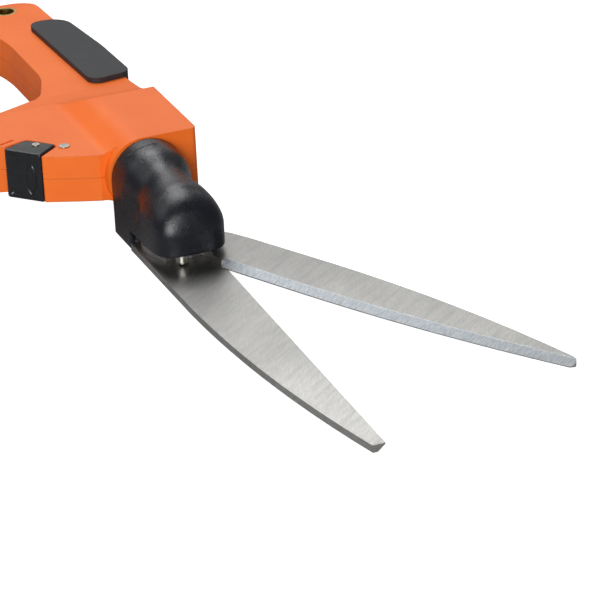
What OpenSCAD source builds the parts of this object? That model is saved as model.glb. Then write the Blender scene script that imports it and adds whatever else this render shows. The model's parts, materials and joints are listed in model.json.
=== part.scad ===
// Grass shears with a swivelling head, laid on their side.
// +X runs forward along the swivel axis, +Y to the fixed handle's back, +Z is the flank that lies upward.
// Origin: on the axis of the hanging hole, level with the swivel axis.
// Rest pose: head turned a quarter turn from the lawn position, blades open, latch released.

/* [Build] */
// Which node to draw
// Roundness of drilled holes and turned pieces
round_fn = 64; // [32:16:96]

/* [Blades] */
// Distance of the blade pivot ahead of the plane where the head meets the handle
pivot_x = 23.3; // [23:0.1:23.6]
// Height of the cutting plane, measured from the swivel axis
cut_z = -16; // [-16.4:0.1:-15.8]
// Thickness of each blade
blade_t = 2.4; // [2:0.1:2.5]
// Length from the pivot to the blade tips
blade_len = 157.4; // [140:0.1:170]
// Angle between the blades when the lever is released
open_angle = 27; // [20:0.5:27]
// Distance from the blade pivot to the drive pin
heel_r = 8.4; // [8.2:0.1:8.4]

/* [Head] */
// Radius of the arched head cover
head_r = 12.6; // [12.5:0.1:12.8]
// Wall thickness of the head cover
cover_wall = 1.8; // [1.7:0.1:1.8]
// Length of the head cover, from the joint plane to its nose
cover_len = 43.4; // [43.2:0.1:44]

/* [Handle housing] */
// Half thickness of the handle slab
slab_half = 8; // [7.9:0.1:8.2]
// Half thickness of the block around the swivel
block_half = 12.8; // [12.7:0.1:13.2]
// Distance of the housing's back from the swivel axis
back_y = 18; // [17.6:0.1:19]

/* [Lever] */
// Radius of the lever pivot pin
lever_pin_r = 1.8; // [1.6:0.1:1.9]

/* [Hidden] */
run = 0.05;              // radial clearance of turning fits
snug = 0.02;             // radial clearance of pinned and screwed fits
hang_x = 148;            // distance from the hanging hole to the joint plane
lever_pivot = [-16.8, -22.3];
fork = [-20, 0];         // where the lever meets the drive rod's spool
latch_pivot = [-21.3, -30.5];
latch_r = 1.3;
lever_half = 5.7;        // half thickness of the lever inside the housing
well_half = 6.1;         // half height of the housing's lever well
grip_half = 7.4;         // half thickness of both handles along the grips
sleeve_half = 9.3;       // half thickness of the soft grips
cheek_in = 7.45;         // inner face of the latch's cheeks
latch_half = 8.5;
collar_r = 13.3;
collar_back = -4.05;
head_seat = -5.6;        // floor of the housing screws' counterbores
neck_r = 9;
neck_back = -10.9;
rod_r = 2.5;
bush_r = 10.5;
wall_back = -7.2;        // back of the wall that carries the swivel
face_x = -0.3;           // front face of the housing
arm_top = cut_z + blade_t + 2.9;
yoke_z = [-7.4, -5];
stop_at = [38.4, -3.2];   // stop pin
cover_screw_at = [33, 3.2];
pin_x = pivot_x - heel_r * sin(open_angle / 2);
pin_y = heel_r * cos(open_angle / 2);
bolt_r = 3;

// Points of a fillet of radius r at corner b, between edges to a and c
function turn(d) = d > 180 ? d - 360 : d < -180 ? d + 360 : d;
function fillet(a, b, c, r, n = 6) =
    let (u = (a - b) / norm(a - b), v = (c - b) / norm(c - b), half = acos(u * v) / 2,
         hub = b + (u + v) / norm(u + v) * r / sin(half),
         p = b + u * r / tan(half) - hub, q = b + v * r / tan(half) - hub,
         a0 = atan2(p.y, p.x), sweep = turn(atan2(q.y, q.x) - a0))
    [for (i = [0:n]) hub + r * [cos(a0 + sweep * i / n), sin(a0 + sweep * i / n)]];

// Closed outline from corners given as [x, y, fillet radius]
module rounded(p) {
    xy = [for (q = p) [q[0], q[1]]];
    n = len(p);
    polygon([for (i = [0:n - 1])
        each p[i][2] > 0 ? fillet(xy[(i + n - 1) % n], xy[i], xy[(i + 1) % n], p[i][2]) : [xy[i]]]);
}

// Moves a piece from the joint plane to the hanging hole's frame
module at_hole() translate([hang_x, 0, 0]) children();

module slab(z0, z1) translate([0, 0, z0]) linear_extrude(height = z1 - z0) children();

// Cylinder along +X from x0 to x1
module rod_x(x0, x1, r) translate([x0, 0, 0]) rotate([0, 90, 0]) cylinder(h = x1 - x0, r = r, $fn = round_fn);

module post(p, z0, z1, r) translate([p.x, p.y, z0]) cylinder(h = z1 - z0, r = r, $fn = round_fn);

// Straight bar between two plan points
module bar(p, q, w) {
    d = q - p;
    translate(p) rotate(atan2(d.y, d.x)) translate([0, -w / 2]) square([norm(d), w]);
}

// ---- Handle housing ----

module housing_outline() rounded([
    [face_x, back_y, 2], [face_x, -14.3, 0], [-3.9, -14.3, 0], [-6.7, -21, 0], [-11.6, -31.5, 0.4],
    [-12.05, -31.7, 0], [-13.4, -30.2, 0], [-25.5, -39.3, 0.5], [-26.9, -43.7, 0.4], [-33, -49.5, 5],
    [-46, -52, 3], [-63, -15, 9],
    [-80, -9, 30], [-120, -9, 60], [-146, -17, 6], [-157, -12, 6], [-156, 12, 9], [-130, 13, 60],
    [-90, 15.5, 60], [-45, back_y, 30]]);

// Thickness of the housing seen along the swivel axis: thin slab on the lever side, block at the swivel
module housing_section() translate([1, 0, 0]) rotate([90, 0, -90]) linear_extrude(height = 170)
    rounded([[-back_y - 1, -block_half, 1.5], [-back_y - 1, block_half, 1.5], [4, block_half, 12.6],
        [12.5, slab_half, 7], [60, slab_half, 0], [60, -slab_half, 0], [12.5, -slab_half, 7],
        [4, -block_half, 12.6]]);

// Thickness of the housing seen from the side: thick at the swivel, slim along the grip
module housing_side() translate([0, 70, 0]) rotate([90, 0, 0]) linear_extrude(height = 140)
    rounded([[5, -block_half - 3, 0], [5, block_half + 3, 0], [-34, block_half + 3, 0], [-52, slab_half, 20],
        [-62, grip_half, 10], [-150, grip_half, 0], [-160, grip_half - 1, 0],
        [-160, 1 - grip_half, 0], [-150, -grip_half, 0], [-62, -grip_half, 10],
        [-52, -slab_half, 20], [-34, -block_half - 3, 0]]);

module housing_solid() difference() {
    intersection() {
        slab(-20, 20) housing_outline();
        housing_section();
        housing_side();
    }
    // round collar behind the head, on the lever side
    difference() {
        translate([collar_back, -20, -20]) cube([5, 20, 40]);
        rod_x(collar_back - 1, 3, collar_r);
    }
}

module latch_outline() rounded([[-23.1, -41.6, 1], [-27.1, -32.3, 1.5], [-19, -24.4, 1.5], [-12.4, -32, 0.6]]);

// Shallow pocket in which the latch's cheek swings
module cheek_pocket() rounded([[-10.1, -34, 0], [-18.6, -23.7, 1.8], [-28.2, -31.6, 1.8],
    [-24.6, -42.9, 0], [-23, -48, 0]]);

module housing_voids() {
    // well for the swivel neck and the drive rod's spool
    rod_x(-31, wall_back, 11.2);
    rod_x(wall_back - 1, 3, bush_r);
    // well for the lever
    slab(-well_half, well_half) {
        translate(lever_pivot) circle(r = 5.6, $fn = round_fn);
        polygon([[-12.4, -26.3], [-14.9, -28.9], [-26.6, -38], [-28.5, -42.4], [-33.8, -46.6], [-44, -49.4],
            [-56, -53], [-72, -20], [-56, -17], [-50, -12.5], [-36, -12.5], [-31, -8], [-29, 4], [-12, 4],
            [-12, -16], [-12.4, -20]]);
    }
    // hollow of the fixed handle
    slab(-5, 5) rounded([[-68, -2, 3], [-68, 10, 3], [-128, 8, 3], [-128, -3, 3]]);
    // pockets for the latch's two cheeks
    for (s = [-1, 1]) slab(min(s * 7.3, s * 20), max(s * 7.3, s * 20)) cheek_pocket();
    // short grooves behind the latch's cheeks
    for (s = [-1, 1]) slab(min(s * 7.2, s * 20), max(s * 7.2, s * 20)) bar([-27.3, -42.4], [-30, -35.4], 1);
    // window for the latch hook
    slab(-3.4, 3.4) polygon([[-15.3, -34], [-17.6, -31.4], [-24.6, -36.4], [-22, -40.4]]);
    // bore for the detent ball and spring
    detent_bore();
}

// Radial bore behind the swivel bearing
module detent_bore() translate([detent_x, 8, 0]) rotate([-90, 45, 0])
    cylinder(h = 8.5, r = 1.6, $fn = round_fn);

detent_x = -3.6;
screw_spots = [[-24, 14.6], [-36, 14], [-70, 12.2], [-138, 8], [-138, -8.5]];

module screw_holes() for (p = screw_spots) {
    post(p, -14, 5.5, 1.3 + snug);
    post(p, -14, head_seat, 2.8);
}

module housing_half(s) color("darkorange") difference() {
    housing_solid();
    slab(s > 0 ? -30 : 0, s > 0 ? 0 : 30) square([400, 200], center = true);
    housing_voids();
    screw_holes();
    post(lever_pivot, -14, 14, lever_pin_r + snug);
    post(latch_pivot, -14, 14, latch_r + snug);
    post([-hang_x, 0], -14, 14, 4.2 + snug);
}

module housing_upper() at_hole() housing_half(1);
module housing_lower() at_hole() housing_half(-1);

// Soft sleeve that wraps the back of the fixed handle
module fixed_grip() at_hole() color("dimgray") difference() {
    slab(-sleeve_half, sleeve_half) rounded([[-65, 4, 4], [-67, 19, 4], [-95, 18.2, 50], [-128, 15.2, 8],
        [-128, 2, 4], [-95, 3, 30]]);
    slab(-grip_half - snug, grip_half + snug) offset_handle();
}

// Handle outline with a hair of room, as seen by the sleeve
module offset_handle() translate([0, 0.03]) housing_outline();

module housing_screws() at_hole() color("silver") for (p = screw_spots) difference() {
    union() {
        post(p, head_seat - 1, 5, 1.3);
        post(p, head_seat - 1.6, head_seat, 2.6);
    }
    slab(-8, head_seat - 0.8) translate(p) square([0.7, 3], center = true);
    slab(-8, head_seat - 0.8) translate(p) square([3, 0.7], center = true);
}

// Eyelet of the hanging hole
module hang_bush() at_hole() color("gray") difference() {
    post([-hang_x, 0], -grip_half, grip_half, 4.2);
    post([-hang_x, 0], -9, 9, 3.2);
}

// Pin whose ends are low domes
module domed_pin(p, half, r, dome) intersection() {
    post(p, -half - dome, half + dome, r);
    translate([p.x, p.y, 0]) intersection_for(s = [-1, 1])
        translate([0, 0, s * (half + dome - 3 * half)]) sphere(r = 3 * half, $fn = 96);
}

module lever_pivot_pin() at_hole() color("silver") domed_pin(lever_pivot, slab_half, lever_pin_r, 0.4);

module latch_rivets() at_hole() color("silver") for (s = [-1, 1])
    post(latch_pivot, min(s * 6.2, s * 8.8), max(s * 6.2, s * 8.8), latch_r);

spring_x = -42;
spring_turns = 6;
spring_r = 4;
wire_r = 0.55;

// Wire along a helix about +Y, from y0 to y1
module coil(r, wire, y0, y1, turns) {
    n = turns * 20;
    sides = 8;
    pitch = (y1 - y0 - 2 * wire) / turns;
    pts = [for (i = [0:n]) let (a = i * 360 * turns / n, y = y0 + wire + pitch * turns * i / n)
        each [for (k = [0:sides - 1]) let (b = k * 360 / sides, q = r + wire * cos(b))
            [q * cos(a), y + wire * sin(b), q * sin(a)]]];
    last = n * sides;
    polyhedron(points = pts, faces = concat(
        [[for (k = [sides - 1:-1:0]) k]],
        [[for (k = [0:sides - 1]) last + k]],
        [for (i = [0:n - 1], k = [0:sides - 1]) let (k2 = (k + 1) % sides)
            [i * sides + k, i * sides + k2, (i + 1) * sides + k2, (i + 1) * sides + k]]));
}

module return_spring() at_hole() color("lightsteelblue")
    translate([spring_x, 0, 0]) coil(spring_r, wire_r, -30.6, -12.7, spring_turns);

// Bearing sleeve pressed into the housing wall
module journal_bush() at_hole() color("beige") difference() {
    union() {
        rod_x(wall_back, -1, bush_r - snug);
        rod_x(wall_back - 0.9, wall_back, 11);
    }
    rod_x(wall_back - 2, 2, neck_r + run);
    detent_bore();
}

// Flat ring between the snap ring and the bearing sleeve
module thrust_ring() at_hole() color("gray") difference() {
    rod_x(wall_back - 1.5, wall_back - 0.95, 10.8);
    rod_x(wall_back - 2, 2, neck_r + run);
}

module detent_ball() at_hole() color("silver")
    translate([detent_x, neck_r + 1.55, 0]) sphere(r = 1.45, $fn = 32);

module detent_spring() at_hole() color("lightsteelblue")
    translate([detent_x, 0, 0]) coil(1.15, 0.25, 12.1, 16.3, 5);

// ---- Lever ----

module lever_outline() rounded([
    [-13.9, -25.8, 3], [-29.4, -37.3, 8], [-50, -48, 20], [-66, -55, 20], [-104, -62, 60],
    [-138, -66, 20], [-150, -74, 5], [-157, -68, 4], [-154, -55, 6], [-138, -50.5, 40], [-104, -43, 60],
    [-66, -36, 30], [-50, -32, 10], [-37, -30.6, 2], [-24.4, -19.8, 6], [-16.4, -18.1, 3]]);

module lever() at_hole() color("orange") difference() {
    union() {
        slab(-lever_half, lever_half) {
            lever_outline();
            bar(lever_pivot, fork - [0, 9], 7);
            bar(fork - [0, 10], fork, 3.4);
            translate(lever_pivot) circle(r = 5, $fn = round_fn);
            translate(fork) circle(r = 3, $fn = round_fn);
            // nose that the latch hook faces
            polygon([[-25.4, -33.8], [-29.4, -36.8], [-26.6, -37.3]]);
        }
        intersection() {
            slab(-grip_half, grip_half) lever_outline();
            slab(-9, 9) translate([-170, -80]) square([104, 60]);
        }
    }
    post(lever_pivot, -9, 9, 3 + snug);
    // slot that lets the fork straddle the drive rod
    slab(-3.2, 3.2) translate([-30, -6.5]) square([24, 12]);
    // hole of the spring peg
    translate([spring_x, -35, 0]) rotate([-90, 0, 0]) cylinder(h = 8, r = 3 + snug, $fn = round_fn);
}

// Soft pad around the outside of the lever
module lever_grip() at_hole() color("dimgray") difference() {
    slab(-sleeve_half, sleeve_half) rounded([[-72, -59.6, 4], [-72, -46, 3], [-104, -53, 30], [-136, -58, 4],
        [-137, -69, 5], [-104, -65, 60]]);
    slab(-grip_half - snug, grip_half + snug) translate([0, -0.03]) lever_outline();
}

module lever_bush() at_hole() color("beige") difference() {
    post(lever_pivot, -lever_half, lever_half, 3);
    post(lever_pivot, -9, 9, lever_pin_r + run);
}

// Peg on the lever that centres the return spring
module spring_peg() at_hole() color("gray") translate([spring_x, 0, 0]) rotate([-90, 0, 0])
    translate([0, 0, -34.9]) cylinder(h = 9, r = 3, $fn = round_fn);

// ---- Latch ----

module latch() at_hole() color("#222222") {
    difference() {
        union() {
            slab(-latch_half, latch_half) latch_outline();
            // thumb ridge on the outer wall
            slab(-8.1, 8.1) polygon([[-18.9, -37.4], [-20.9, -39.2], [-20.4, -40.1], [-18.5, -38.3]]);
        }
        // room for the housing between the two cheeks
        slab(-cheek_in, cheek_in)
            polygon([[-12.3, -29.8], [-27.1, -43.1], [-34, -48], [-34, -20], [-12.3, -20]]);
        post(latch_pivot, -12, 12, latch_r + run);
    }
    // hook that reaches through the window
    slab(-3, 3) polygon([[-17.2, -34.8], [-18.9, -33], [-21.9, -35.7], [-20.2, -37.5]]);
}

// ---- Drive ----

module drive_rod() at_hole() color("silver") {
    rod_x(-27.5, 4, rod_r);
    rod_x(3.9, 6.1, 1.9);
    rod_x(6, 8, 4);
}

// Flanged spool on the rod, gripped by the lever's fork
module spool() at_hole() color("goldenrod") difference() {
    union() {
        rod_x(-26, -15.3, 2.9);
        rod_x(-25.5, -23.1, 6.2);
        rod_x(-16.9, -15.3, 6.2);
    }
    rod_x(-28, 0, rod_r + snug);
}

module spool_clip() at_hole() color("gray") difference() {
    rod_x(-26.9, -26.1, 4);
    rod_x(-28, 0, rod_r + snug);
    translate([-30, -1, 0]) cube([8, 2, 8]);
}

// ---- Swivelling head ----

module swivel_neck() at_hole() color("dimgray") difference() {
    union() {
        rod_x(neck_back, 1.9, neck_r);
        rod_x(0.5, 1.9, 9.8);
    }
    rod_x(neck_back - 1, 5, rod_r + run);
    // groove for the snap ring
    difference() {
        rod_x(-9.75, -8.75, 12);
        rod_x(-11, 0, 8);
    }
    for (y = [-6.9, 6.9]) translate([0, y, 1.5]) rod_x(-4, 5, 1.2 + snug);
}

module retaining_ring() at_hole() color("silver") difference() {
    rod_x(-9.7, -8.8, 10.4);
    rod_x(-12, 0, 8 + snug);
    translate([-12, -1.5, 0]) cube([8, 3, 12]);
}

module neck_screws() at_hole() color("silver") for (y = [-6.9, 6.9]) translate([0, y, 1.5]) {
    rod_x(-3.8, 3.9, 1.2);
    rod_x(3.9, 4.9, 2.1);
}

// Bracket that holds the fixed blade, the pivot and the yoke's guides
module blade_carrier() at_hole() color("slategray") difference() {
    union() {
        intersection() {
            rod_x(1.95, 3.9, 9.8);
            translate([0, -10, -10]) cube([5, 20, 20]);
        }
        translate([1.95, -9.6, cut_z - 0.06]) cube([10, 19.2, yoke_z[0] - 0.1 - cut_z]);
        translate([5.6, -9.6, yoke_z[0] - 1]) cube([6.35, 1.3, 3.4]);
        translate([5.6, 8.3, yoke_z[0] - 1]) cube([6.35, 1.3, 3.4]);
        slab(arm_top - 2, arm_top) rounded([[11, -6, 0], [11, 6, 0], [pivot_x + 4, 6, 4], [pivot_x + 8, 0, 4],
            [pivot_x + 4, -6, 4]]);
        slab(arm_top - 2, arm_top) {
            // pads of the stop pin and of the cover screw
            bar([pivot_x, 0], stop_at, 4.8);
            translate(stop_at) circle(r = 2.6, $fn = round_fn);
            translate(cover_screw_at) circle(r = 3.2, $fn = round_fn);
        }
    }
    rod_x(-1, 12, 3);
    for (y = [-6.9, 6.9]) translate([0, y, 1.5]) rod_x(1, 4.4, 1.2 + snug);
    for (y = [-5, 5]) post([7, y], cut_z - 1, -10, 1.5 + snug);
    post([pivot_x, 0], -20, 0, bolt_r + snug);
    post(stop_at, -20, 0, 2.15 + snug);
    post(cover_screw_at, -20, 0, 1.3 + snug);
    post(cover_screw_at, -20, arm_top - 1, 2.2);
    // swing of the upper blade's heel
    post([pivot_x, 0], cut_z - 0.5, cut_z + blade_t + 0.1, 11.6);
}

// Plan of the head cover, grown by g
module cover_plan(g = 0) rounded([[-5, -head_r - g, 0], [30, 0.2 - head_r - g, 20],
    [cover_len - 2.2 + g, -10.6 - g, 5.5 + g], [cover_len + g, 0, 20 + g],
    [cover_len - 2.2 + g, 10.6 + g, 5.5 + g],
    [30, head_r - 0.2 + g, 20], [-5, head_r + g, 0]]);

// Arched cross-section, grown by g, open below
module cover_arch(g = 0) translate([-6, 0, 0]) rotate([90, 0, 90]) linear_extrude(height = 60) {
    r = head_r + g;
    polygon(concat([[r, -27], [r, 0]], [for (i = [1:23]) r * [cos(180 * i / 24), sin(180 * i / 24)]],
        [[-r, 0], [-r, -27]]));
}

// Side profile: saddle behind a bulging nose, grown by g
module cover_side(g = 0) translate([0, 20, 0]) rotate([90, 0, 0]) linear_extrude(height = 40)
    rounded([[-5, -30, 0], [-5, head_r + g, 0], [3, head_r + g, 10], [17, 9.6 + g, 12], [27, 9.9 + g, 12],
        [cover_len - 5 + g, 5.2 + g, 7 + g], [cover_len - 1 + g, -2 + g, 10 + g], [cover_len + g, -11.3, 0],
        [cover_len + g, -30, 0]]);

module cover_form(g = 0) difference() {
    intersection() {
        slab(-25, 20) cover_plan(g);
        cover_arch(g);
        cover_side(g);
    }
    // flanks that narrow towards the nose
    for (s = [-1, 1]) rotate([-s * flank_turn, 0, 0]) rotate([0, flank_slope, 0])
        translate([-100, -60, flank_reach + g]) cube([200, 120, 40]);
}
flank_turn = 53;
flank_slope = 6.5;
flank_reach = 12.67;

module cover_shell() difference() {
    intersection() {
        cover_form();
        translate([0, -20, -17.9]) cube([60, 40, 40]);
    }
    cover_form(-cover_wall);
    // openings for both blades
    translate([15.3, -20, -30]) cube([60, 40, 30 - 11.3]);
    translate([-1, -10.6, -30]) cube([17, 21.2, 22]);
    // mouth around the swivel neck
    rod_x(-6, 3, 10.1);
    // relief over the stop pin's pad
    post(stop_at, -30, arm_top + 0.1, 2.8);
}

module head_shroud() at_hole() color("#2b2d33") {
    cover_shell();
    // boss of the cover screw
    difference() {
        intersection() {
            post(cover_screw_at, arm_top + 0.05, 8, 2.6);
            cover_form(-0.5);
        }
        post(cover_screw_at, -20, -2, 1.3 + snug);
    }
}

module shroud_screw() at_hole() color("silver") {
    post(cover_screw_at, arm_top - 1, -2.5, 1.3);
    post(cover_screw_at, arm_top - 1.9, arm_top - 1, 2.1);
}

// Wedge that grinds an edge between plan points p and q, w wide on the left of p to q
module edge_cut(p, q, w, z_edge, z_face) {
    d = q - p;
    m = (z_face - z_edge) / w;
    over = 0.25;
    translate(p) rotate(atan2(d.y, d.x)) translate([-over, 0, 0]) rotate([90, 0, 90])
        linear_extrude(height = norm(d) + 2 * over)
            polygon([[-0.8, z_edge - 0.8 * m], [w + 0.6, z_face + 0.6 * m], [-0.8, z_face + 0.6 * m]]);
}

// Fixed blade: straight cutting edge, back curving to a blunt tip
function back_curve(x) = -12.4 + 13.8 * pow((x - 36.7) / (blade_len - 36.7), 2);
low_top = cut_z - 0.06;
low_base = [28, 8.2];
low_tip = [blade_len, 5.4];
module lower_blade() at_hole() color("lightgray") difference() {
    slab(low_top - blade_t, low_top) {
        translate([pivot_x, 0]) polygon(concat(
            [[-8, -12.4], [36.7, -12.3]],
            [for (i = [1:12]) let (x = 36.7 + (blade_len - 36.7) * i / 12) [x, back_curve(x)]],
            [low_tip, low_base, [-8, 9.6]]));
        translate([2.2, -9.4]) square([14, 18.8]);
    }
    for (y = [-5, 5]) post([7, y], -20, 0, 1.5 + snug);
    post([pivot_x, 0], -20, 0, bolt_r + snug);
    translate([pivot_x, 0]) edge_cut(low_tip + [1, 0], low_base, 2.4, low_top - 0.4, low_top - blade_t);
}

module blade_screws() at_hole() color("silver") for (y = [-5, 5]) difference() {
    union() {
        post([7, y], cut_z - blade_t - 0.06, -11, 1.5);
        post([7, y], cut_z - blade_t - 1.4, cut_z - blade_t - 0.06, 2.8);
    }
    slab(cut_z - blade_t - 2, cut_z - blade_t - 0.8) translate([7, y]) circle(r = 1.4, $fn = 6);
}

module pivot_bolt() at_hole() color("silver") {
    post([pivot_x, 0], cut_z - blade_t - 0.06, arm_top + 3, bolt_r);
    post([pivot_x, 0], cut_z - blade_t - 1.9, cut_z - blade_t - 0.06, 6.5);
}

module pivot_nut() at_hole() color("gray") difference() {
    translate([pivot_x, 0, arm_top]) cylinder(h = 2.6, r = 5.2, $fn = 6);
    post([pivot_x, 0], -20, 0, bolt_r + snug);
}

module thrust_washer() at_hole() color("goldenrod") difference() {
    post([pivot_x, 0], cut_z + blade_t + 0.05, arm_top - 2, 6.2);
    post([pivot_x, 0], -20, 0, bolt_r + snug);
}

// Slotted roll pin that limits the upper blade's swing
module stop_pin() at_hole() color("silver") difference() {
    union() {
        post(stop_at, cut_z + 1.2, arm_top + 0.8, 2.15);
        translate([stop_at.x, stop_at.y, cut_z + 0.5]) cylinder(h = 0.7, r1 = 1.7, r2 = 2.15, $fn = round_fn);
    }
    post(stop_at, -20, 0, 1.3);
    slab(-20, 0) translate(stop_at - [0.3, 3]) square([0.6, 3]);
}

module drive_yoke() at_hole() color("steelblue") difference() {
    union() {
        translate([4, -4.5, yoke_z[0]]) cube([1.95, 9, 12.4]);
        slab(yoke_z[0], yoke_z[1]) rounded([[4, -8.2, 0.5], [4, 8.2, 0], [13, 8.2, 0], [14.5, 9.4, 0],
            [pin_x + 2.6, 9.4, 1.5], [pin_x + 2.6, 4, 1.5], [16, 3.4, 2], [13, -8.2, 0.5]]);
    }
    // open slot that drops over the rod's neck
    rod_x(2, 7, 1.9 + run);
    translate([2, -1.95, 0]) cube([5, 3.9, 8]);
    // cross slot for the drive pin
    slab(-10, 0) translate([pin_x - 1.56, pin_y - 2]) square([3.12, 5]);
}

// ---- Upper blade ----

function upper_out(x) = 14.5 - 9.6 * pow(max(0, x - 55) / (blade_len - 55), 2);
function upper_in(x) = -4.6 + 7 * pow(max(0, x - 55) / (blade_len - 55), 2);

// Upper blade's plan when closed, about the pivot; the notch at the heel clears the stop pin
module upper_plan() {
    circle(r = 11, $fn = round_fn);
    polygon(concat(
        [[-3, -10.5], [3, -11.4], [6.6, -12], [8, -8.6], [11.2, -4.5], [12.2, -0.8], [17, -0.8], [19, -2.7],
            [edge_x - 0.4, -3.9], [edge_x, upper_in(edge_x)]],
        [for (i = [0:steps]) let (x = 55 + (blade_len - 1 - 55) * i / steps) [x, upper_in(x)]],
        [[blade_len + 0.3, 3.6], [blade_len - 0.2, 4.7]],
        [for (i = [steps:-1:0]) let (x = 55 + (blade_len - 2 - 55) * i / steps) [x, upper_out(x)]],
        [[20, 14.1], [12, 13.6], [3, 11]]));
}

steps = 8;
edge_x = 24;
edge_ends = concat([edge_x], [for (i = [0:steps]) 55 + (blade_len - 1 - 55) * i / steps], [blade_len + 2]);

// Ground edge of the upper blade, in short straight facets
module upper_grind() for (i = [0:len(edge_ends) - 2]) let (a = edge_ends[i], b = edge_ends[i + 1])
    edge_cut([a, upper_in(a)], [b, upper_in(b)], 2.2, cut_z + 0.3, cut_z + blade_t);

module in_open_pose() translate([pivot_x, 0, 0]) rotate(open_angle) children();

module upper_blade() at_hole() color("whitesmoke") difference() {
    in_open_pose() difference() {
        slab(cut_z, cut_z + blade_t) upper_plan();
        upper_grind();
    }
    post([pivot_x, 0], -20, 0, bolt_r + run);
    post([pin_x, pin_y], -20, 0, 1.5 + snug);
}

module drive_pin() at_hole() color("silver") post([pin_x, pin_y], cut_z + 0.1, yoke_z[1] + 0.1, 1.5);

housing_upper();
housing_lower();
fixed_grip();
housing_screws();
hang_bush();
lever_pivot_pin();
latch_rivets();
return_spring();
journal_bush();
thrust_ring();
detent_ball();
detent_spring();
lever();
lever_grip();
lever_bush();
spring_peg();
latch();
drive_rod();
spool();
spool_clip();
swivel_neck();
retaining_ring();
neck_screws();
blade_carrier();
head_shroud();
shroud_screw();
lower_blade();
blade_screws();
pivot_bolt();
pivot_nut();
thrust_washer();
stop_pin();
drive_yoke();
upper_blade();
drive_pin();
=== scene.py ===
"""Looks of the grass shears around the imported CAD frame: materials, moulded pieces, spring and studio."""
import json
import math

import bmesh
import bpy
from mathutils import Matrix, Vector


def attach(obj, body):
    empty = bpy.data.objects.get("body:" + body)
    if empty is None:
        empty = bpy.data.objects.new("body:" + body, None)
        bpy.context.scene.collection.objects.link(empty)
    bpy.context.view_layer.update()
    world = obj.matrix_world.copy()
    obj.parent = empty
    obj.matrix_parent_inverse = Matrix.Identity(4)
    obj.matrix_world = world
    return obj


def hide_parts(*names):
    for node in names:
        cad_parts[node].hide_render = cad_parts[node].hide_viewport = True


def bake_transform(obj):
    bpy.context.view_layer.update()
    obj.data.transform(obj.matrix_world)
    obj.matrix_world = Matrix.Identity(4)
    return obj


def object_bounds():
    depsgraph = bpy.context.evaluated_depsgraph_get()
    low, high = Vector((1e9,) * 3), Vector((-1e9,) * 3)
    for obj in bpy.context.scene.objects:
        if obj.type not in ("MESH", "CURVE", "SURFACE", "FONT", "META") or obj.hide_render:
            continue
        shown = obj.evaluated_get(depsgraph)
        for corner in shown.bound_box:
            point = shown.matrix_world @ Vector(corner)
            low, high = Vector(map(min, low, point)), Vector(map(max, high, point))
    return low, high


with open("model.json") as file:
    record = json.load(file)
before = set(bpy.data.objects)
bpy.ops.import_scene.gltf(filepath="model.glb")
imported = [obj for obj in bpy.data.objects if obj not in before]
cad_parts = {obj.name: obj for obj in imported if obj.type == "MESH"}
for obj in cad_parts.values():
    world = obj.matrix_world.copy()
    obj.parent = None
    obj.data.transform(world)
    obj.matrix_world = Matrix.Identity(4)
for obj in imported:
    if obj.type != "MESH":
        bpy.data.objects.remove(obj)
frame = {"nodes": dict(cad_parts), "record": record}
cad_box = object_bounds()
NODES = frame["nodes"]
MM = 0.001
# the joint plane between handle and head, where the swivel axis starts
SWIVEL = next(j for j in frame["record"]["behaviour"]["joints"] if j["name"] == "head_swivel")
JOINT = Vector(SWIVEL["pos_m"])


# ---------------------------------------------------------------- node helpers

class Shader:
    """A node material under construction; ins() wires inputs by name."""

    def __init__(self, name):
        self.mat = bpy.data.materials.new(name)
        self.mat.use_nodes = True
        self.tree = self.mat.node_tree
        self.bsdf = self.tree.nodes["Principled BSDF"]
        self.coords = self.node("ShaderNodeTexCoord")

    def node(self, kind, **inputs):
        n = self.tree.nodes.new(kind)
        self.ins(n, **inputs)
        return n

    def ins(self, n, **inputs):
        for key, value in inputs.items():
            socket = n.inputs[key.replace("_", " ")]
            if isinstance(value, bpy.types.NodeSocket):
                self.tree.links.new(value, socket)
            else:
                socket.default_value = value

    def place(self, scale=(1, 1, 1), turn=0.0):
        """Object coordinates in millimetres, turned about Z and then stretched."""
        turned = self.node("ShaderNodeMapping", Rotation=(0, 0, turn), Scale=(1000, 1000, 1000))
        self.tree.links.new(self.coords.outputs["Object"], turned.inputs["Vector"])
        stretched = self.node("ShaderNodeMapping", Scale=scale)
        self.tree.links.new(turned.outputs["Vector"], stretched.inputs["Vector"])
        return stretched.outputs["Vector"]

    def noise(self, vector, scale, detail=2.0, rough=0.5):
        n = self.node("ShaderNodeTexNoise", Vector=vector, Scale=scale, Detail=detail, Roughness=rough)
        return n.outputs["Fac"]

    def ramp(self, value, low, high, out_low=0.0, out_high=1.0):
        n = self.node("ShaderNodeMapRange", Value=value)
        n.clamp = True
        self.ins(n, From_Min=low, From_Max=high, To_Min=out_low, To_Max=out_high)
        return n.outputs["Result"]

    def math(self, operation, a, b=0.0):
        n = self.tree.nodes.new("ShaderNodeMath")
        n.operation = operation
        for socket, value in zip(n.inputs, (a, b)):
            if isinstance(value, bpy.types.NodeSocket):
                self.tree.links.new(value, socket)
            else:
                socket.default_value = value
        return n.outputs["Value"]

    def mix(self, share, a, b):
        n = self.tree.nodes.new("ShaderNodeMix")
        n.data_type = "RGBA"
        for index, value in ((0, share), (6, a), (7, b)):
            if isinstance(value, bpy.types.NodeSocket):
                self.tree.links.new(value, n.inputs[index])
            else:
                n.inputs[index].default_value = value
        return n.outputs[2]

    def bump(self, height, distance, strength=1.0, below=None):
        n = self.node("ShaderNodeBump", Height=height, Distance=distance, Strength=strength)
        if below is not None:
            self.tree.links.new(below, n.inputs["Normal"])
        return n.outputs["Normal"]

    def soft_edges(self, radius):
        n = self.node("ShaderNodeBevel", Radius=radius)
        n.samples = 4
        return n.outputs["Normal"]


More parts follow.
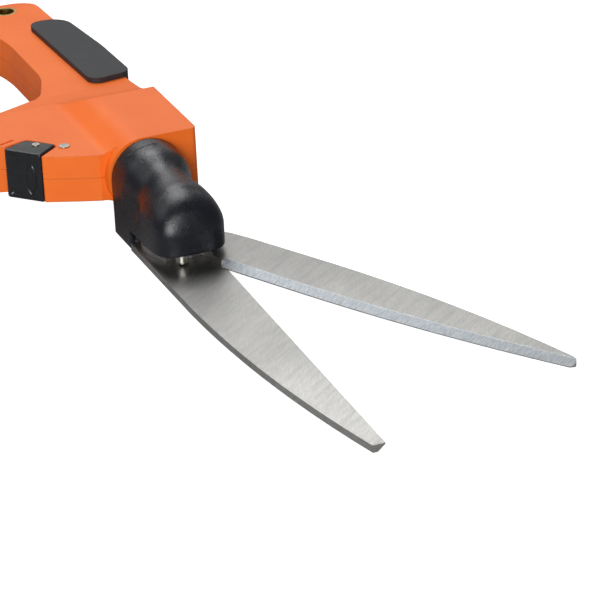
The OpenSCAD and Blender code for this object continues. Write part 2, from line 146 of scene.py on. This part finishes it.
def colour(red, green, blue):
    """Display colour of 0 to 255 as a linear RGBA tuple."""
    def linear(c):
        c /= 255
        return c / 12.92 if c <= 0.04045 else ((c + 0.055) / 1.055) ** 2.4
    return (linear(red), linear(green), linear(blue), 1.0)


# ---------------------------------------------------------------- materials

def orange_shell():
    """Satin moulded orange plastic with a faint flow mottle and scuffed gloss."""
    s = Shader("orange_shell")
    at = s.place()
    mottle = s.noise(at, 0.05, 3)
    scuff = s.noise(at, 0.9, 5, 0.65)
    grain = s.noise(at, 5.0, 2)
    base = s.mix(s.ramp(mottle, 0.35, 0.65), colour(238, 108, 26), colour(242, 115, 34))
    s.ins(s.bsdf, Base_Color=base, Roughness=s.ramp(scuff, 0.3, 0.75, 0.42, 0.56))
    s.ins(s.bsdf, Normal=s.bump(grain, 0.02 * MM, 0.25, s.soft_edges(0.5 * MM)))
    s.ins(s.bsdf, Specular_IOR_Level=0.38)
    return s.mat


def dark_plastic(name, tone, grain_size, grain_depth, rough, shine=0.5):
    """Black moulded plastic with an eroded grain."""
    s = Shader(name)
    at = s.place()
    grain = s.noise(at, grain_size, 3, 0.6)
    wear = s.noise(at, 0.35, 4, 0.6)
    r, g, b = tone
    base = s.mix(s.ramp(wear, 0.4, 0.7), colour(r, g, b), colour(r * 1.25, g * 1.25, b * 1.25))
    s.ins(s.bsdf, Base_Color=base, Roughness=s.ramp(wear, 0.3, 0.7, rough - 0.05, rough + 0.05))
    s.ins(s.bsdf, Normal=s.bump(grain, grain_depth * MM, 0.6, s.soft_edges(0.25 * MM)))
    s.ins(s.bsdf, Specular_IOR_Level=shine)
    return s.mat


ROOT_SHADE = (150.0, 290.0)     # stretch of the blades, in frame mm, over which the painted shade at the root fades out


def blade_steel():
    """Ground strip steel: long fine scratches on the flats, coarse cross grinding on the edge bevel."""
    s = Shader("blade_steel")
    long_marks = s.noise(s.place((0.35, 7, 7), 0.5), 1.0, 4, 0.7)
    cross_marks = s.noise(s.place((4.5, 0.5, 0.5)), 1.0, 3, 0.7)
    cloud = s.noise(s.place(), 0.035, 3)
    tilt = s.node("ShaderNodeSeparateXYZ", Vector=s.coords.outputs["Normal"])
    lift = s.math("ABSOLUTE", tilt.outputs["Z"])
    ground = s.math("MULTIPLY", s.ramp(lift, 0.5, 0.6), s.ramp(lift, 0.985, 0.995, 1.0, 0.0))
    flat = s.mix(s.ramp(cloud, 0.35, 0.65), colour(196, 195, 191), colour(212, 211, 207))
    flat = s.mix(s.ramp(long_marks, 0.35, 0.75, 0.0, 0.75), flat, colour(158, 158, 157))
    smear = s.noise(s.place((0.08, 0.5, 0.5), 0.9), 1.0, 4, 0.6)
    flat = s.mix(s.ramp(smear, 0.42, 0.68, 0.0, 0.4), flat, colour(150, 150, 151))
    # painted shade: darker towards the root, standing in for the black head cover's reflection and shadow on
    # the blades
    along = s.node("ShaderNodeSeparateXYZ", Vector=s.place()).outputs["X"]
    flat = s.mix(s.ramp(along, *ROOT_SHADE, 0.75, 0.0), flat, colour(132, 131, 130))
    bevel = s.mix(s.ramp(cross_marks, 0.35, 0.65), colour(176, 184, 190), colour(226, 231, 235))
    s.ins(s.bsdf, Base_Color=s.mix(ground, flat, bevel), Metallic=1.0)
    rough = s.ramp(long_marks, 0.3, 0.8, 0.32, 0.5)
    s.ins(s.bsdf, Roughness=rough)
    marks = s.bump(long_marks, 0.004 * MM, 0.5, s.soft_edges(0.15 * MM))
    s.ins(s.bsdf, Normal=s.bump(s.math("MULTIPLY", cross_marks, ground), 0.05 * MM, 0.8, marks))
    return s.mat


def metal(name, tone, rough, grain=6.0):
    """Turned or plated small metal pieces."""
    s = Shader(name)
    at = s.place()
    fine = s.noise(at, grain, 3, 0.6)
    stain = s.noise(at, 0.6, 3)
    r, g, b = tone
    base = s.mix(s.ramp(stain, 0.35, 0.7), colour(r, g, b), colour(r * 0.86, g * 0.85, b * 0.82))
    s.ins(s.bsdf, Base_Color=base, Metallic=1.0, Roughness=s.ramp(fine, 0.3, 0.7, rough - 0.06, rough + 0.08))
    s.ins(s.bsdf, Normal=s.bump(fine, 0.01 * MM, 0.5, s.soft_edges(0.12 * MM)))
    return s.mat


def nylon():
    """Natural nylon of the bearing sleeves."""
    s = Shader("nylon")
    at = s.place()
    fine = s.noise(at, 2.0, 3)
    base = s.mix(s.ramp(fine, 0.35, 0.7), colour(226, 222, 206), colour(212, 206, 188))
    s.ins(s.bsdf, Base_Color=base, Roughness=0.45, Normal=s.bump(fine, 0.02 * MM, 0.4))
    return s.mat


MATERIALS = {
    "orange_shell": orange_shell(),
    "soft_black": dark_plastic("soft_black", (34, 35, 38), 2.2, 0.12, 0.62),
    "black_plastic": dark_plastic("black_plastic", (20, 21, 25), 3.5, 0.02, 0.26),
    "head_cover": dark_plastic("head_cover", (12, 15, 22), 2.4, 0.2, 0.25, 0.56),
    "blade_steel": blade_steel(),
    "bright_steel": metal("bright_steel", (206, 202, 196), 0.26),
    "zinc_steel": metal("zinc_steel", (196, 198, 202), 0.36),
    "spring_steel": metal("spring_steel", (150, 153, 160), 0.3),
    "nylon": nylon(),
    "brass": metal("brass", (206, 170, 96), 0.3),
}


def paint(obj, slot):
    """Gives an object the material of a slot in the record."""
    obj.data.materials.clear()
    obj.data.materials.append(MATERIALS[slot])


for part in frame["record"]["subparts"]:
    paint(NODES[part["node"]], part["material_slot"])


ROUNDED = {"fixed_grip": 1.6, "lever_grip": 1.6, "lever": 0.8}   # edge width, mm
ROUNDED_FROM = 55.0      # sharpest angle, in degrees, that is left alone
WELD_GAP = 0.002 * MM


def round_edges(obj, width):
    """Rounded edges on a CAD piece, added as modifiers."""
    weld = obj.modifiers.new("weld", "WELD")
    weld.merge_threshold = WELD_GAP
    soft = obj.modifiers.new("soft", "BEVEL")
    soft.width = width * MM
    soft.segments = 3
    soft.limit_method = "ANGLE"
    soft.angle_limit = math.radians(ROUNDED_FROM)
    soft.harden_normals = True


for node, width in ROUNDED.items():
    round_edges(NODES[node], width)


# ---------------------------------------------------------------- moulded pieces

def at_joint(x, y, z):
    """Frame position, in metres, of a point given in millimetres from the joint plane."""
    return JOINT + Vector((x, y, z)) * MM


def smooth_step(t):
    """Eased share from 0 to 1."""
    t = min(1.0, max(0.0, t))
    return t * t * (3 - 2 * t)


def table(x, stops):
    """Value at x, eased between (position, value) stops."""
    for (x0, v0), (x1, v1) in zip(stops, stops[1:]):
        if x <= x1:
            return v0 + (v1 - v0) * smooth_step((x - x0) / (x1 - x0))
    return stops[-1][1]


def solid_piece(name, verts, faces, slot, body, sharp_from):
    """Mesh object from joint-plane millimetres, painted, smooth up to an angle and carried by a body."""
    mesh = bpy.data.meshes.new(name)
    mesh.from_pydata([at_joint(*v) for v in verts], [], faces)
    bm = bmesh.new()
    bm.from_mesh(mesh)
    bmesh.ops.remove_doubles(bm, verts=bm.verts, dist=WELD_GAP)
    bmesh.ops.recalc_face_normals(bm, faces=bm.faces)
    bm.to_mesh(mesh)
    bm.free()
    mesh.shade_smooth()
    mesh.set_sharp_from_angle(angle=math.radians(sharp_from))
    obj = bpy.data.objects.new(name, mesh)
    bpy.context.scene.collection.objects.link(obj)
    paint(obj, slot)
    if body:
        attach(obj, body)
    return obj


COVER_BACK = 0.3
COVER_DOME = 27.0        # where the nose starts to close
COVER_NOTCH = 15.3       # end of the deep rear skirt
COVER_RIM = -11.3
COVER_SKIRT = -17.9
ARCH = 12.6
# reach of the cover's bounding planes by distance from the joint plane
COVER_WIDTH = [(0, 14.0), (8, 13.7), (18, 12.1), (27, 17.5)]
COVER_HEIGHT = [(0, 12.6), (8, 12.5), (18, 10.1), (27, 8.9)]
COVER_FLANK = [(0, 13.6), (8, 13.4), (18, 10.9), (27, 12.7)]
COVER_WAIST = [(0, 0.0), (6, 0.0), (27, -3.9)]
FLANK = (0.8, 0.6)       # direction of the sloping flanks: share across, share up
DIAGONAL = 0.71          # direction of the plane that slopes down the nose
BLEND = 4.0              # how softly the planes run into each other
BLEND_IN = 12.0          # distance over which the round arch turns into those planes
NOSE_REACH = 17.2
NOSE_SLOPE = 17.7
RIM_HALF = 12.5
RIM_REACH = 16.3
RIM_POWER = 3.8
COVER_WALL = 1.8
COVER_RIM_EDGE = 0.25
COVER_SHARP = 50.0       # degrees
# mesh steps
BACK_SECTIONS = 14       # from the joint plane to the notch
SADDLE_SECTIONS = 11     # from the notch to the nose
RIM_STEPS = 8            # from the rim up to the waist
SECTION_STEPS = 30       # from the waist up to the ridge
NOSE_TURNS = 20          # round a quarter of the nose
SKIRT_STEPS = 3          # down the deep rear skirt


def soft_limit(terms):
    """Radius at which softly blended planes stop a ray; terms are component over reach."""
    return sum(max(0.0, t) ** BLEND for t in terms) ** (-1 / BLEND)


def cover_radius(x, across, up, forward=0.0):
    """Distance of the cover's skin from the waist line along a unit direction."""
    waist = table(x, COVER_WAIST)
    height, flank = table(x, COVER_HEIGHT) - waist, table(x, COVER_FLANK)
    c, s = FLANK
    nose_slope = DIAGONAL * (forward + up) / NOSE_SLOPE * smooth_step(2 * forward)
    r = soft_limit([abs(across) / table(x, COVER_WIDTH), up / height,
                    (c * across + s * up) / flank, (c * across - s * up) / flank,
                    (s * up - c * across) / flank, -(c * across + s * up) / flank,
                    forward / NOSE_REACH, nose_slope])
    share = smooth_step(x / BLEND_IN)
    return ARCH * (1 - share) + r * share


def skirt(edge, rim, waist):
    """(reach, height) pairs from the rim up to the waist, easing from one reach to the other."""
    pairs = []
    for i in range(RIM_STEPS):
        z = COVER_RIM + (waist - COVER_RIM) * i / RIM_STEPS
        pairs.append((edge + (rim - edge) * smooth_step((waist - z) / (waist - COVER_RIM)), z))
    return pairs


def cover_section(x):
    """Half section at x as (half width, height) pairs, from the rim up to the ridge."""
    waist = table(x, COVER_WAIST)
    pairs = skirt(cover_radius(x, 1.0, 0.0), RIM_HALF, waist)
    for i in range(SECTION_STEPS + 1):
        angle = math.pi / 2 * i / SECTION_STEPS
        r = cover_radius(x, math.cos(angle), math.sin(angle))
        pairs.append((r * math.cos(angle), waist + r * math.sin(angle)))
    return pairs


def cover_stations():
    """Positions of the cover's sections along the swivel axis."""
    back, saddle = COVER_NOTCH - COVER_BACK, COVER_DOME - COVER_NOTCH
    xs = [COVER_BACK + back * i / BACK_SECTIONS for i in range(BACK_SECTIONS + 1)]
    return xs + [COVER_NOTCH + saddle * i / SADDLE_SECTIONS for i in range(1, SADDLE_SECTIONS + 1)]


def nose_column(angle):
    """(reach, height) pairs on the nose from the rim up to the ridge, at an angle from the left flank."""
    waist = table(COVER_DOME, COVER_WAIST)
    forward, across = math.sin(angle), -math.cos(angle)
    rim = (abs(across) / RIM_HALF) ** RIM_POWER + (forward / RIM_REACH) ** RIM_POWER
    rim **= -1 / RIM_POWER
    column = skirt(cover_radius(COVER_DOME, across, 0.0, forward), rim, waist)
    for k in range(SECTION_STEPS):
        tilt = math.pi / 2 * k / SECTION_STEPS
        flat = math.cos(tilt)
        r = cover_radius(COVER_DOME, flat * across, math.sin(tilt), flat * forward)
        column.append((r * flat, waist + r * math.sin(tilt)))
    return column


def head_cover():
    """Arched cover: round behind, saddle in the middle, bulging nose, deeper skirt behind the notch."""
    xs = cover_stations()
    verts, faces, rows = [], [], []
    for x in xs:
        half = cover_section(x)
        ring = [(x, -w, z) for w, z in half] + [(x, w, z) for w, z in reversed(half[:-1])]
        rows.append(list(range(len(verts), len(verts) + len(ring))))
        verts += ring
    for a, b in zip(rows, rows[1:]):
        faces += [(a[i], a[i + 1], b[i + 1], b[i]) for i in range(len(a) - 1)]
    # nose: level curves from the left flank round to the right one, closing at the ridge
    columns = []
    for i in range(2 * NOSE_TURNS + 1):
        angle = math.pi * i / (2 * NOSE_TURNS)
        start = len(verts)
        verts += [(COVER_DOME + r * math.sin(angle), -r * math.cos(angle), z) for r, z in nose_column(angle)]
        columns.append(list(range(start, len(verts))))
    verts.append((COVER_DOME, 0, half[-1][1]))
    for a, b in zip(columns, columns[1:]):
        faces += [(a[k], a[k + 1], b[k + 1], b[k]) for k in range(len(a) - 1)]
        faces.append((a[-1], len(verts) - 1, b[-1]))
    # deep skirt on both sides behind the notch
    levels = [COVER_RIM + (COVER_SKIRT - COVER_RIM) * k / SKIRT_STEPS for k in range(SKIRT_STEPS + 1)]
    for side in (-1, 1):
        lower = []
        for x in xs[:BACK_SECTIONS + 1]:
            lower.append([len(verts) + k for k in range(SKIRT_STEPS + 1)])
            verts += [(x, side * RIM_HALF, z) for z in levels]
        for a, b in zip(lower, lower[1:]):
            faces += [(a[k], a[k + 1], b[k + 1], b[k]) for k in range(SKIRT_STEPS)]
    cover = solid_piece("cover_shell", verts, faces, "head_cover", "head", COVER_SHARP)
    shell = cover.modifiers.new("wall", "SOLIDIFY")
    shell.thickness = COVER_WALL * MM
    shell.offset = -1.0
    shell.use_even_offset = True
    rim = cover.modifiers.new("rim", "BEVEL")
    rim.width = COVER_RIM_EDGE * MM
    rim.segments = 2
    rim.angle_limit = math.radians(COVER_SHARP)
    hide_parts("head_shroud")


head_cover()


def rounded_outline(corners, per_corner):
    """Closed outline through (x, y, fillet radius) corners, each drawn with per_corner steps."""
    points = []
    count = len(corners)
    for i, (x, y, radius) in enumerate(corners):
        here = Vector((x, y))
        before = (Vector(corners[i - 1][:2]) - here).normalized()
        after = (Vector(corners[(i + 1) % count][:2]) - here).normalized()
        half = math.acos(max(-1.0, min(1.0, before.dot(after)))) / 2
        hub = here + (before + after).normalized() * radius / math.sin(half)
        start = here + before * radius / math.tan(half) - hub
        end = here + after * radius / math.tan(half) - hub
        turn = math.atan2(start.x * end.y - start.y * end.x, start.dot(end))
        for k in range(per_corner + 1):
            a = turn * k / per_corner
            points.append((hub.x + start.x * math.cos(a) - start.y * math.sin(a),
                           hub.y + start.x * math.sin(a) + start.y * math.cos(a)))
    return points


def inset_outline(points, side, gap):
    """Outline moved by gap along its own normals; side says which way is inwards."""
    count = len(points)
    moved = []
    for i, (x, y) in enumerate(points):
        ahead, behind = Vector(points[(i + 1) % count]), Vector(points[i - 1])
        along = (ahead - behind).normalized()
        moved.append((x + along.y * gap * side, y - along.x * gap * side))
    return moved


def divide_last_side(points, parts):
    """Outline with extra points on the side that closes it, from the last point to the first."""
    first, last = Vector(points[0]), Vector(points[-1])
    return points + [tuple(last + (first - last) * k / parts) for k in range(1, parts)]


LATCH_TOP = [(-23.1, -41.6, 1.2), (-27.1, -32.3, 1.6), (-19.0, -24.4, 1.2), (-12.4, -32.0, 0.8)]
LATCH_BOTTOM = [(-23.3, -41.6, 1.2), (-27.1, -32.3, 1.6), (-19.0, -24.4, 1.2), (-12.6, -31.9, 0.8)]
# room for the housing between the cheeks
LATCH_ROOM = [(-13.0, -30.4, 0.3), (-27.1, -43.1, 0.3), (-34, -48, 0.3), (-34, -20, 0.3), (-13.0, -20, 0.3)]
LATCH_HALF = 8.5
LATCH_EDGE = 0.7
CHEEK = 1.05
THUMB_NORMAL = (0.668, -0.744)
EDGE_STEPS = 4           # mesh steps round the latch's edges
CORNER_STEPS = 8         # mesh steps round a corner of its outline
WALL_STEPS = 90          # mesh steps along the thumb wall
WALL_LEVELS = 60         # mesh steps up the thumb wall
LATCH_SHARP = 35.0       # degrees


def latch_levels():
    """(height, inset) pairs from the latch's lower face to its upper one, rounding both edges."""
    quarter = [math.pi / 2 * k / EDGE_STEPS for k in range(EDGE_STEPS + 1)]
    lower = [(-LATCH_HALF + LATCH_EDGE * (1 - math.cos(a)), LATCH_EDGE * (1 - math.sin(a))) for a in quarter]
    span = 2 * (LATCH_HALF - LATCH_EDGE)
    middle = [(-LATCH_HALF + LATCH_EDGE + span * k / WALL_LEVELS, 0.0) for k in range(1, WALL_LEVELS)]
    return lower + middle + [(-z, inset) for z, inset in reversed(lower)]


def latch_block():
    """The latch before the housing's room is cut out of it."""
    top, bottom = rounded_outline(LATCH_TOP, CORNER_STEPS), rounded_outline(LATCH_BOTTOM, CORNER_STEPS)
    orient = sum(a[0] * b[1] - b[0] * a[1] for a, b in zip(top, top[1:] + top[:1]))
    side = -1.0 if orient > 0 else 1.0
    top, bottom = divide_last_side(top, WALL_STEPS), divide_last_side(bottom, WALL_STEPS)
    wall_from = len(top) - WALL_STEPS
    verts, rings = [], []
    for z, inset in latch_levels():
        share = (z + LATCH_HALF) / (2 * LATCH_HALF)
        outline = [(b[0] + (t[0] - b[0]) * share, b[1] + (t[1] - b[1]) * share) for t, b in zip(top, bottom)]
        ring = []
        for i, (x, y) in enumerate(inset_outline(outline, side, inset)):
            if i > wall_from:
                out = thumb_relief((i - wall_from) / WALL_STEPS, z)
                x, y = x + THUMB_NORMAL[0] * out, y + THUMB_NORMAL[1] * out
            ring.append((x, y, z))
        rings.append(list(range(len(verts), len(verts) + len(ring))))
        verts += ring
    faces = []
    for a, b in zip(rings, rings[1:]):
        n = len(a)
        faces += [(a[i], a[(i + 1) % n], b[(i + 1) % n], b[i]) for i in range(n)]
    faces += [tuple(reversed(rings[0])), tuple(rings[-1])]
    return solid_piece("latch_shell", verts, faces, "black_plastic", "latch_body", LATCH_SHARP)


def latch_room():
    """Solid that fills the room between the cheeks."""
    outline = rounded_outline(LATCH_ROOM, 1)
    inner = LATCH_HALF - CHEEK
    count = len(outline)
    verts = [(x, y, z) for z in (-inner, inner) for x, y in outline]
    faces = [tuple(range(count)), tuple(range(2 * count - 1, count - 1, -1))]
    faces += [(i, (i + 1) % count, count + (i + 1) % count, count + i) for i in range(count)]
    return solid_piece("latch_room", verts, faces, "black_plastic", None, LATCH_SHARP)


def evaluated_mesh(obj):
    """Mesh of an object with its modifiers or curve bevel applied."""
    bpy.context.view_layer.update()
    return bpy.data.meshes.new_from_object(obj.evaluated_get(bpy.context.evaluated_depsgraph_get()))


def latch_cover():
    """Thumb latch: moulded shell with rounded edges, a sloping thumb wall, a scoop and an oval groove."""
    latch, room = latch_block(), latch_room()
    cut = latch.modifiers.new("room", "BOOLEAN")
    cut.operation = "DIFFERENCE"
    cut.solver = "EXACT"
    cut.object = room
    shaped = evaluated_mesh(latch)
    latch.modifiers.clear()
    latch.data = shaped
    bpy.data.objects.remove(room, do_unlink=True)
    latch.data.shade_smooth()
    latch.data.set_sharp_from_angle(angle=math.radians(LATCH_SHARP))
    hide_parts("latch")


# the thumb wall's relief; the first number of a pair is a share of the wall's length
OVAL_AT = (0.28, -0.6)
OVAL_SIZE = (0.15, 5.2)
GROOVE_DEPTH = 0.36
GROOVE_WIDTH = 0.12
RIB_AT = 0.66
SCOOP_DEPTH = 0.7
SCOOP_HALF = 7.6
SCOOP_EDGES = (0.05, 0.12)


def thumb_relief(along, z):
    """Height of the thumb wall's relief: along runs 0..1 from the block side to the free end."""
    u = (along - OVAL_AT[0]) / OVAL_SIZE[0]
    v = (z - OVAL_AT[1]) / OVAL_SIZE[1]
    ring = math.hypot(u, v)
    groove = -GROOVE_DEPTH * math.exp(-((ring - 1) / GROOVE_WIDTH) ** 2)
    rise, fall = SCOOP_EDGES
    lengthways = smooth_step((along - RIB_AT) / rise) * smooth_step((1.0 - along) / fall)
    return groove - SCOOP_DEPTH * lengthways * smooth_step(SCOOP_HALF - abs(z))


latch_cover()


def return_coil():
    """Return spring between the handle and the lever's peg: a baked copy of the CAD spring wire that takes
    its place.
    """
    wire = NODES["return_spring"]
    coil = bpy.data.objects.new("return_coil", wire.data.copy())
    coil.matrix_world = wire.matrix_world.copy()
    bpy.context.scene.collection.objects.link(coil)
    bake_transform(coil)
    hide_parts("return_spring")


return_coil()


def pipe(name, points, radius, slot, body):
    """Round bead along points given in joint-plane millimetres."""
    curve = bpy.data.curves.new(name, "CURVE")
    curve.dimensions = "3D"
    curve.bevel_depth = radius * MM
    curve.bevel_resolution = 2
    curve.use_fill_caps = True
    spline = curve.splines.new("POLY")
    spline.points.add(len(points) - 1)
    for p, xyz in zip(spline.points, points):
        p.co = (*at_joint(*xyz), 1.0)
    source = bpy.data.objects.new(name + "_path", curve)
    bpy.context.scene.collection.objects.link(source)
    mesh = evaluated_mesh(source)
    bpy.data.objects.remove(source, do_unlink=True)
    obj = bpy.data.objects.new(name, mesh)
    bpy.context.scene.collection.objects.link(obj)
    paint(obj, slot)
    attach(obj, body)


def on_cover(x, turn_deg):
    """Point on the cover's skin at x, turned from the ridge towards the left flank."""
    angle = math.radians(90 + turn_deg)
    r = cover_radius(x, abs(math.cos(angle)), math.sin(angle))
    return (x, r * math.cos(angle), table(x, COVER_WAIST) + r * math.sin(angle))


MARK_AT = 5.2            # distance of the swivel mark from the joint plane
MARK_ENDS = (-10, 40)    # degrees from the ridge
MARK_BARB = 1.3          # half width of an arrow tip
MARK_BARB_TURN = 7       # its length in degrees
MARK_STEPS = 20
MARK_BEAD = 0.16


def swivel_mark():
    """Moulded double-ended arc on the cover that shows that the head turns."""
    low, high = MARK_ENDS
    arc = [on_cover(MARK_AT, low + (high - low) * k / MARK_STEPS) for k in range(MARK_STEPS + 1)]
    pipe("swivel_arc", arc, MARK_BEAD, "head_cover", "head")
    for name, end, inward in (("swivel_tip_a", low, MARK_BARB_TURN), ("swivel_tip_b", high, -MARK_BARB_TURN)):
        tip = [on_cover(MARK_AT - MARK_BARB, end + inward), on_cover(MARK_AT, end),
               on_cover(MARK_AT + MARK_BARB, end + inward)]
        pipe(name, tip, MARK_BEAD, "head_cover", "head")


swivel_mark()


# ---------------------------------------------------------------- studio

FLOOR_TONE = (150, 150, 150)
FLOOR_HALF = 3.0
FLOOR_GAP = 0.4 * MM
SKY = 0.17
# name, place and target in mm from the joint plane, size in m, power in W
SOFTBOXES = [
    ("overhead", (-450, 60, 800), (20, 0, 0), (0.5, 0.5), 4.6),
    ("key", (1000, -560, 420), (20, 0, 0), (0.7, 0.7), 13.0),
    ("left", (-370, -650, 720), (20, 0, 0), (0.6, 0.6), 1.3),
    ("behind", (-1000, 380, 520), (60, 10, 0), (1.1, 0.55), 1.25),
]


def seen_directly(tree):
    """One for rays from the camera, zero for the light that the floor sends to the tool."""
    return tree.nodes.new("ShaderNodeLightPath").outputs["Is Camera Ray"]


def studio_floor():
    """Pale paper floor: plain white to the camera, a dim pale grey to everything it lights."""
    z = cad_box[0][2] - FLOOR_GAP
    mesh = bpy.data.meshes.new("floor")
    corners = [(x * FLOOR_HALF, y * FLOOR_HALF, z) for x, y in ((-1, -1), (1, -1), (1, 1), (-1, 1))]
    mesh.from_pydata(corners, [], [(0, 1, 2, 3)])
    floor = bpy.data.objects.new("floor", mesh)
    bpy.context.scene.collection.objects.link(floor)
    s = Shader("floor_paper")
    s.ins(s.bsdf, Base_Color=colour(*FLOOR_TONE), Roughness=0.9)
    s.ins(s.bsdf, Emission_Color=(1.0, 1.0, 1.0, 1.0), Emission_Strength=seen_directly(s.tree))
    floor.data.materials.append(s.mat)


def softbox(name, place, target, size, power):
    """Rectangular lamp that faces its target."""
    data = bpy.data.lights.new(name, "AREA")
    data.shape = "RECTANGLE"
    data.size, data.size_y = size
    data.energy = power
    lamp = bpy.data.objects.new(name, data)
    lamp.location = at_joint(*place)
    aim = at_joint(*target) - at_joint(*place)
    lamp.rotation_euler = aim.to_track_quat("-Z", "Y").to_euler()
    bpy.context.scene.collection.objects.link(lamp)


def studio():
    """White sky, pale floor and the softboxes."""
    studio_floor()
    world = bpy.data.worlds.new("studio")
    bpy.context.scene.world = world
    world.use_nodes = True
    back = world.node_tree.nodes["Background"]
    back.inputs["Color"].default_value = (1.0, 1.0, 1.0, 1.0)
    back.inputs["Strength"].default_value = SKY
    for lamp in SOFTBOXES:
        softbox(*lamp)


EYE = (1031.36, -345.40, 460.52)
EYE_RIGHT = Vector((0.3771, 0.92506, -0.04529))
EYE_UP = Vector((-0.37726, 0.19809, 0.90467))
LENS = 217.6
LENS_SHIFT = (0.0053, -0.0003)


def camera():
    """Long-lens view from ahead and to the left of the tool, about 25 degrees above the blades."""
    data = bpy.data.cameras.new("camera")
    data.sensor_width = 36.0
    data.lens = LENS
    data.shift_x, data.shift_y = LENS_SHIFT
    data.clip_start = 0.01
    cam = bpy.data.objects.new("camera", data)
    axes = Matrix((EYE_RIGHT, EYE_UP, EYE_RIGHT.cross(EYE_UP))).transposed().to_4x4()
    cam.matrix_world = Matrix.Translation(at_joint(*EYE)) @ axes
    bpy.context.scene.collection.objects.link(cam)
    bpy.context.scene.camera = cam


studio()
camera()
bpy.context.scene.view_settings.view_transform = "Standard"
